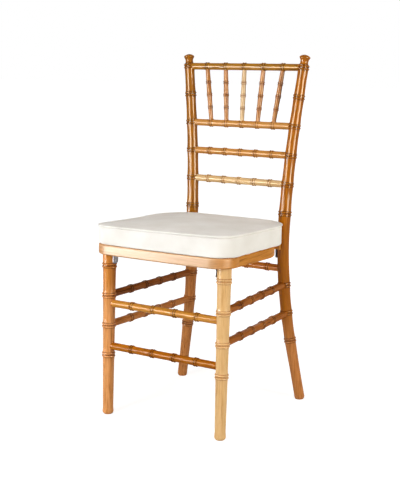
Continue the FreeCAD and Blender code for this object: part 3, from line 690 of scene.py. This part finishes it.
@dataclass
class SeatCushion:
    """Boxed foam cushion: canvas panels sewn to a side band, with piping round the top.

    Heights are above the seat frame's upper face. The cover is held at its seams and blown up
    as a coarse core, which a fine skin follows.

    Args:
        skin_voxel: Mesh size of the skin.
        core_voxel: Mesh size of the core.
        merge_distance: How near two points of the frame's mesh are one point.
        undersize: How much smaller than the frame's cushion it starts, as it swells.
        rest_gap: Room between the cushion and the wood that it rests on.
        edge_height: Height of its top edge.
        half_width: From its middle to its side.
        depth: From its front to its back.
        pressure: Push of the filling.
        frames: Length of the simulation.
        solver_steps: Steps in each frame.
        cloth_mass: Mass of each point of the cover.
        cloth_stiffness: Of the cover against being stretched or squeezed.
        bend_stiffness: Of the cover against being bent.
        largest_move: The most that a point may go.
        pin_reach: How near a seam the cover is held.
        pin_slope: The most that a normal may point up or down where the cover is held.
        smooth_factor: Strength of a round of smoothing.
        cover_rounds: Rounds of smoothing on the cover.
        top_seam: Height of the seam under the piping.
        bottom_seam: Height of the seam at the foot.
        seam_reach: How far from the top seam its crease reaches.
        seam_depth: Depth of the crease.
        seam_sharpness: How steeply the crease falls in.
        fine_reach: How far from the top seam the mesh is finer.
        fine_slope: The most that a normal may point up or down where the mesh is finer.
        band_share: The least that a normal points sideways on the side band.
        foot_height: Height of the foot of the side band.
        foot_flare: How far out the foot is pressed.
        foot_drop: How far down the foot is pressed.
        piping_cut: Height of the cut round the side band that gives the piping its line.
        piping_height: Height of the piping.
        piping_radius: Half the piping's thickness.
        piping_spacing: The least distance between two points of its line.
        piping_rounds: Rounds of smoothing on its line.
        piping_facets: How round its section is.
        full_corner: How much fuller the front right corner stands.
        sag: How far the left side sinks.
        sag_middle: How far from the front it sinks most.
        sag_reach: How far the sag spreads.
    """

    skin_voxel: float = 2.5 * MM
    core_voxel: float = 6.0 * MM
    merge_distance: float = 0.01 * MM
    undersize: float = 0.6 * MM
    rest_gap: float = 0.3 * MM
    edge_height: float = 52.0 * MM
    half_width: float = 203.0 * MM
    depth: float = 334.0 * MM
    pressure: float = 4.0
    frames: int = 20
    solver_steps: int = 5
    cloth_mass: float = 0.3
    cloth_stiffness: float = 18.0
    bend_stiffness: float = 1.2
    largest_move: float = 5.0 * MM
    pin_reach: float = 6.0 * MM
    pin_slope: float = 0.93
    smooth_factor: float = 0.5
    cover_rounds: int = 2
    top_seam: float = 46.3 * MM
    bottom_seam: float = 3.0 * MM
    seam_reach: float = 2.2 * MM
    seam_depth: float = 1.6 * MM
    seam_sharpness: float = 1.5
    fine_reach: float = 5.0 * MM
    fine_slope: float = 0.7
    band_share: float = 0.3
    foot_height: float = 8.0 * MM
    foot_flare: float = 3.0 * MM
    foot_drop: float = 0.8 * MM
    piping_cut: float = 44.5 * MM
    piping_height: float = 49.3 * MM
    piping_radius: float = 2.3 * MM
    piping_spacing: float = 1.2 * MM
    piping_rounds: int = 6
    piping_facets: int = 3
    full_corner: float = 2.6 * MM
    sag: float = 3.0 * MM
    sag_middle: float = 150.0 * MM
    sag_reach: float = 130.0 * MM

    def seat_matrix(self) -> Matrix:
        """Place of the seat frame's upper face: tipped back, X right, Z away from the wood."""
        turn = Matrix.Rotation(-SEAT_TILT, 4, "X")
        return Matrix.Translation(SEAT_HINGE) @ turn @ Matrix.Translation((0, 0, SEAT_FRAME_THICKNESS))

    def even_copy(self, name: str, voxel: float) -> bpy.types.Object:
        """Copy the frame's cushion, a little smaller, with an even mesh.

        Args:
            name: The new object's name.
            voxel: Size of the mesh.

        Returns:
            The new object.
        """
        copy = bpy.data.objects.new(name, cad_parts["cushion"].data.copy())
        bpy.context.scene.collection.objects.link(copy)
        only(copy)
        bpy.ops.object.mode_set(mode="EDIT")
        bpy.ops.mesh.select_all(action="SELECT")
        bpy.ops.mesh.remove_doubles(threshold=self.merge_distance)
        bpy.ops.mesh.normals_make_consistent(inside=False)
        bpy.ops.transform.shrink_fatten(value=-self.undersize)
        bpy.ops.object.mode_set(mode="OBJECT")
        copy.data.materials.clear()
        remesh = copy.modifiers.new("even", "REMESH")
        remesh.mode = "VOXEL"
        remesh.voxel_size = voxel
        bpy.ops.object.modifier_apply(modifier=remesh.name)
        return copy

    def pin_seams(self, core: bpy.types.Object) -> None:
        """Hold the cover where it is sewn: round its top edge and round its foot.

        Args:
            core: The cushion before it is blown up.
        """
        to_seat = self.seat_matrix().inverted()
        pins = core.vertex_groups.new(name="seams")
        for vertex in core.data.vertices:
            height = (to_seat @ vertex.co).z
            upright = abs(vertex.normal.z) < self.pin_slope
            near = min(abs(height - self.piping_height), abs(height - self.bottom_seam)) < self.pin_reach
            if upright and near:
                pins.add([vertex.index], 1.0, "REPLACE")

    def blow_up(self, core: bpy.types.Object) -> None:
        """Fill the cover by cloth simulation, then limit how far each point went.

        Args:
            core: The cushion; its mesh is changed.
        """
        start = [vertex.co.copy() for vertex in core.data.vertices]
        only(core)
        cloth = core.modifiers.new("fill", "CLOTH")
        cloth.settings.quality = self.solver_steps
        cloth.settings.mass = self.cloth_mass
        cloth.settings.tension_stiffness = self.cloth_stiffness
        cloth.settings.compression_stiffness = self.cloth_stiffness
        cloth.settings.bending_stiffness = self.bend_stiffness
        cloth.settings.use_pressure = True
        cloth.settings.uniform_pressure_force = self.pressure
        cloth.settings.effector_weights.gravity = 0.0
        cloth.settings.vertex_group_mass = "seams"
        scene = bpy.context.scene
        for number in range(1, self.frames + 1):
            scene.frame_set(number)
        bpy.ops.object.modifier_apply(modifier=cloth.name)
        scene.frame_set(1)
        for vertex, before in zip(core.data.vertices, start):
            move = vertex.co - before
            if move.length > self.largest_move:
                vertex.co = before + move.normalized() * self.largest_move

    def filled_cover(self) -> bpy.types.Object:
        """Blow up a coarse core and carry its swelling over to a fine skin.

        Returns:
            The skin, with crisp edges.
        """
        skin = self.even_copy("seat_cushion", self.skin_voxel)
        core = self.even_copy("cushion_core", self.core_voxel)
        LOG.info("cushion: skin %d points, core %d", len(skin.data.vertices), len(core.data.vertices))
        self.pin_seams(core)
        follow = skin.modifiers.new("follow", "SURFACE_DEFORM")
        follow.target = core
        only(skin)
        bpy.ops.object.surfacedeform_bind(modifier=follow.name)
        LOG.info("skin bound to core: %s", follow.is_bound)
        self.blow_up(core)
        only(skin)
        bpy.ops.object.modifier_apply(modifier=follow.name)
        bpy.data.objects.remove(core)
        return skin

    def refine_seam(self, pad: bpy.types.Object) -> None:
        """Divide the faces round the top seam, so that a crease can be drawn in there.

        Args:
            pad: The filled cushion.
        """
        to_seat = self.seat_matrix().inverted()
        only(pad)
        bpy.ops.object.mode_set(mode="EDIT")
        bpy.ops.mesh.select_mode(type="FACE")
        bpy.ops.mesh.select_all(action="DESELECT")
        bpy.ops.object.mode_set(mode="OBJECT")
        for face in pad.data.polygons:
            upright = abs(face.normal.z) < self.fine_slope
            face.select = upright and abs((to_seat @ face.center).z - self.top_seam) < self.fine_reach
        bpy.ops.object.mode_set(mode="EDIT")
        bpy.ops.mesh.subdivide(number_cuts=1)
        bpy.ops.object.mode_set(mode="OBJECT")

    def draw_seams(self, pad: bpy.types.Object) -> None:
        """Draw the cover in under the piping and press its foot flat and out to the frame's edge.

        Args:
            pad: The filled cushion; its mesh is changed.
        """
        from_seat = self.seat_matrix()
        to_seat = from_seat.inverted()
        inward = [Vector((-vertex.normal.x, -vertex.normal.y, 0.0)) for vertex in pad.data.vertices]
        for vertex, way in zip(pad.data.vertices, inward):
            place = to_seat @ vertex.co
            place.z = max(place.z, self.rest_gap)
            if way.length > self.band_share:
                way.normalize()
                crease = max(0.0, 1 - abs(place.z - self.top_seam) / self.seam_reach)
                foot = max(0.0, 1 - place.z / self.foot_height)
                place += way * (self.seam_depth * crease ** self.seam_sharpness - self.foot_flare * foot)
                place.z -= self.foot_drop * foot
            vertex.co = from_seat @ place

    def settle(self, piece: bpy.types.Object) -> None:
        """Let the filling shift as in use.

        The front right corner stands fuller than the front left, and the left side sags.

        Args:
            piece: The cushion or its piping; its mesh is changed.
        """
        from_seat = self.seat_matrix()
        to_seat = from_seat.inverted()
        for vertex in piece.data.vertices:
            place = to_seat @ vertex.co
            away = math.hypot(place.x + self.half_width, place.y - self.sag_middle) / self.sag_reach
            rise = self.full_corner * (place.x / self.half_width) * (1 - place.y / self.depth)
            rise -= self.sag * math.exp(-away * away)
            place.z += rise * max(place.z, 0.0) / self.edge_height
            vertex.co = from_seat @ place

    def finish_mesh(self, pad: bpy.types.Object) -> None:
        """Even out the remeshing steps and shade the cushion smooth.

        Args:
            pad: The filled cushion.
        """
        only(pad)
        soften = pad.modifiers.new("soften", "SMOOTH")
        soften.factor = self.smooth_factor
        soften.iterations = self.cover_rounds
        bpy.ops.object.modifier_apply(modifier=soften.name)
        bpy.ops.object.shade_smooth()

    def piping(self, pad: bpy.types.Object) -> bpy.types.Object:
        """Covered cord sewn round the top edge: a tube that follows the cushion's side.

        Args:
            pad: The finished cushion.

        Returns:
            The piping.
        """
        cord = bpy.data.objects.new("cushion_piping", pad.data.copy())
        bpy.context.scene.collection.objects.link(cord)
        only(cord)
        place = self.seat_matrix()
        up = place.to_3x3() @ Vector((0, 0, 1))
        bpy.ops.object.mode_set(mode="EDIT")
        bpy.ops.mesh.select_all(action="SELECT")
        bpy.ops.mesh.bisect(
            plane_co=place @ Vector((0, 0, self.piping_cut)), plane_no=up,
            clear_inner=True, clear_outer=True, use_fill=False,
        )
        bpy.ops.mesh.select_all(action="SELECT")
        bpy.ops.mesh.remove_doubles(threshold=self.piping_spacing)
        bpy.ops.mesh.select_all(action="SELECT")
        bpy.ops.mesh.vertices_smooth(factor=self.smooth_factor, repeat=self.piping_rounds)
        bpy.ops.transform.translate(value=up * (self.piping_height - self.piping_cut))
        bpy.ops.object.mode_set(mode="OBJECT")
        bpy.ops.object.convert(target="CURVE")
        cord.data.bevel_depth = self.piping_radius
        cord.data.bevel_resolution = self.piping_facets
        bpy.ops.object.convert(target="MESH")
        bpy.ops.object.shade_smooth()
        return cord

    def build(self) -> None:
        """Make the cushion with its piping and put both in place of the plain solid."""
        pad = self.filled_cover()
        self.finish_mesh(pad)
        cord = self.piping(pad)
        self.refine_seam(pad)
        self.draw_seams(pad)
        self.settle(pad)
        self.settle(cord)
        canvas = WovenPolyester().make()
        wear(pad, canvas)
        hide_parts("cushion")
        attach(pad, "cushion")
        wear(cord, canvas)
        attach(cord, "cushion")
        LOG.info("cushion and piping: %d and %d points", len(pad.data.vertices), len(cord.data.vertices))


@dataclass(frozen=True)
class Softbox:
    """One softbox that faces the middle of the chair.

    Args:
        name: The light's name.
        azimuth: Degrees round the chair, 0 in front and 90 on the right.
        elevation: Degrees above the middle of the chair.
        distance: From the chair's middle, in metres.
        size: Width and height in metres.
        watts: Power.
        colour: Its light's colour.
        mirrored_only: Whether it shows in gloss alone and lights nothing.
    """

    name: str
    azimuth: float
    elevation: float
    distance: float
    size: tuple[float, float]
    watts: float
    colour: str = "#FFFFFF"
    mirrored_only: bool = False

    def hang(self, middle: Vector) -> None:
        """Hang it in the studio.

        Args:
            middle: The middle of the chair.
        """
        turn, rise = math.radians(self.azimuth), math.radians(self.elevation)
        back = Vector((math.sin(turn) * math.cos(rise), -math.cos(turn) * math.cos(rise), math.sin(rise)))
        data = bpy.data.lights.new(self.name, "AREA")
        data.shape = "RECTANGLE"
        data.size, data.size_y = self.size
        data.energy = self.watts
        data.color = linear(self.colour)[:3]
        lamp = bpy.data.objects.new(self.name, data)
        lamp.visible_camera = False
        lamp.visible_diffuse = not self.mirrored_only
        lamp.location = middle + back * self.distance
        lamp.rotation_mode = "QUATERNION"
        lamp.rotation_quaternion = (-back).to_track_quat("-Z", "Y")
        bpy.context.scene.collection.objects.link(lamp)


@dataclass
class Studio:
    """Pale floor, white surroundings, softboxes and the camera of the photograph.

    The camera's place, direction and focal length were fitted to the photograph. Five softboxes
    light the chair. The three gleams show in the lacquer and the zinc alone: they give the narrow
    bright streaks without more light on the wood.

    Args:
        camera_place: Where the camera stands.
        camera_azimuth: Degrees that it stands round to the chair's right.
        camera_fall: Degrees that it looks down.
        focal_pixels: Its focal length in the photograph's pixels.
        picture_height: Height of the photograph in pixels.
        sensor: Longer side of its sensor in millimetres.
        sight: How far it sees.
        floor_size: Side of the floor.
        floor_colour: The floor's colour under the lamps.
        floor_glow: What the floor adds under the chair where it is seen.
        glow_start: How far out the glow begins to rise to white.
        glow_full: How far out it is white.
        fill_strength: Light of the surroundings on the chair.
        ceiling_start: How steep the view up is where the white surroundings begin to dim.
        ceiling_full: How steep it is where they are dimmest.
        ceiling_share: Their strength there, so that flat lacquer doesn't turn grey.
        chair_middle: What the lamps face.
        lamps: The lamps.
    """

    camera_place: tuple[float, float, float] = (1.4587, -2.2585, 0.9434)
    camera_azimuth: float = 33.05
    camera_fall: float = 10.58
    focal_pixels: float = 1051.1
    picture_height: float = 485.0
    sensor: float = 36.0
    sight: float = 100.0
    floor_size: float = 40.0
    floor_colour: str = "#B4B3B1"
    floor_glow: float = 0.79
    glow_start: float = 0.8
    glow_full: float = 3.5
    fill_strength: float = 0.2
    ceiling_start: float = 0.45
    ceiling_full: float = 0.8
    ceiling_share: float = 0.35
    chair_middle: tuple[float, float, float] = (0.0, 0.0, 0.5)
    lamps: tuple[Softbox, ...] = (
        Softbox("front_softbox", -10.0, 19.0, 2.6, (0.7, 0.95), 33.0),
        Softbox("left_softbox", -38.0, -3.5, 2.6, (0.6, 0.6), 17.5),
        Softbox("right_softbox", 86.0, 8.0, 2.6, (0.6, 1.2), 37.5, "#FFFBF3"),
        Softbox("overhead_softbox", 20.0, 70.0, 2.4, (0.5, 0.5), 12.5, "#FFF5EF"),
        Softbox("rear_softbox", 188.0, 14.0, 2.6, (1.0, 1.2), 17.0),
        Softbox("front_gleam", -20.0, 13.4, 2.55, (1.5, 0.9), 190.0, "#FFF7DA", True),
        Softbox("left_gleam", -42.0, -2.4, 2.55, (1.3, 0.7), 130.0, "#FFFEFA", True),
        Softbox("right_gleam", 78.0, 8.0, 2.55, (1.4, 1.2), 230.0, "#FFF7DA", True),
    )

    def camera(self) -> None:
        """Set up the camera. The photograph is upright, so the sensor spans its height."""
        turn = math.radians(self.camera_azimuth)
        fall = math.radians(self.camera_fall)
        look = Vector((-math.sin(turn) * math.cos(fall), math.cos(turn) * math.cos(fall), -math.sin(fall)))
        data = bpy.data.cameras.new("camera")
        data.sensor_width = self.sensor
        data.lens = self.focal_pixels * self.sensor / self.picture_height
        data.clip_end = self.sight
        camera = bpy.data.objects.new("camera", data)
        camera.location = self.camera_place
        camera.rotation_mode = "QUATERNION"
        camera.rotation_quaternion = look.to_track_quat("-Z", "Y")
        bpy.context.scene.collection.objects.link(camera)
        bpy.context.scene.camera = camera

    def seen_directly(self, tree: bpy.types.NodeTree) -> bpy.types.NodeSocket:
        """Share of rays from the camera, or through a mirror or glass.

        Args:
            tree: The node tree to add to.

        Returns:
            A socket that is 1 for those rays.
        """
        path = add_node(tree, "ShaderNodeLightPath")
        first = add_node(tree, "ShaderNodeMath", {"operation": "MAXIMUM"}, {
            0: path.outputs["Is Camera Ray"], 1: path.outputs["Is Glossy Ray"],
        })
        return add_node(tree, "ShaderNodeMath", {"operation": "MAXIMUM"}, {
            0: first.outputs[0], 1: path.outputs["Is Transmission Ray"],
        }).outputs[0]

    def world(self) -> None:
        """White surroundings where they are seen, a plain fill elsewhere."""
        world = bpy.data.worlds.new("studio")
        bpy.context.scene.world = world
        world.use_nodes = True
        tree = world.node_tree
        tree.nodes.clear()
        place = add_node(tree, "ShaderNodeTexCoord")
        way = add_node(tree, "ShaderNodeSeparateXYZ", {}, {"Vector": place.outputs["Generated"]})
        backdrop = add_node(tree, "ShaderNodeMapRange", {"interpolation_type": "SMOOTHSTEP"}, {
            "Value": way.outputs["Z"], "From Min": self.ceiling_start, "From Max": self.ceiling_full,
            "To Min": 1.0, "To Max": self.ceiling_share,
        })
        strength = add_node(tree, "ShaderNodeMapRange", {}, {
            "Value": self.seen_directly(tree), "To Min": self.fill_strength,
            "To Max": backdrop.outputs["Result"],
        })
        background = add_node(tree, "ShaderNodeBackground", {}, {
            "Color": (1.0, 1.0, 1.0, 1.0), "Strength": strength.outputs["Result"],
        })
        add_node(tree, "ShaderNodeOutputWorld", {}, {"Surface": background.outputs["Background"]})

    def floor(self) -> None:
        """Plain pale floor that shows white and keeps a soft shadow."""
        bpy.ops.object.select_all(action="DESELECT")
        bpy.ops.mesh.primitive_plane_add(size=self.floor_size)
        floor = bpy.context.object
        floor.name = "floor"
        material, tree = new_material("pale_floor")
        place = add_node(tree, "ShaderNodeTexCoord")
        reach = add_node(tree, "ShaderNodeVectorMath", {"operation": "LENGTH"}, {0: place.outputs["Object"]})
        lift = add_node(tree, "ShaderNodeMapRange", {"interpolation_type": "SMOOTHSTEP"}, {
            "Value": reach.outputs["Value"], "From Min": self.glow_start, "From Max": self.glow_full,
            "To Min": self.floor_glow, "To Max": 1.0,
        })
        shown = add_node(tree, "ShaderNodeMath", {"operation": "MULTIPLY"}, {
            0: lift.outputs["Result"], 1: self.seen_directly(tree),
        })
        matt = add_node(tree, "ShaderNodeBsdfDiffuse", {}, {"Color": linear(self.floor_colour)})
        glow = add_node(tree, "ShaderNodeEmission", {}, {"Strength": shown.outputs[0]})
        both = add_node(tree, "ShaderNodeAddShader", {}, {0: matt.outputs[0], 1: glow.outputs[0]})
        add_node(tree, "ShaderNodeOutputMaterial", {}, {"Surface": both.outputs["Shader"]})
        wear(floor, material)

    def build(self) -> None:
        """Set up everything round the chair."""
        self.camera()
        self.world()
        self.floor()
        for lamp in self.lamps:
            lamp.hang(Vector(self.chair_middle))
        bpy.context.scene.view_settings.view_transform = "Standard"


def main() -> None:
    """Build the chair's looks and the studio round it."""
    logging.basicConfig(level=logging.INFO, format="%(message)s")
    Studio().build()
    WoodFrame().dress()
    SeatFittings().dress()
    SeatCushion().build()


if __name__ == "__main__":
    main()
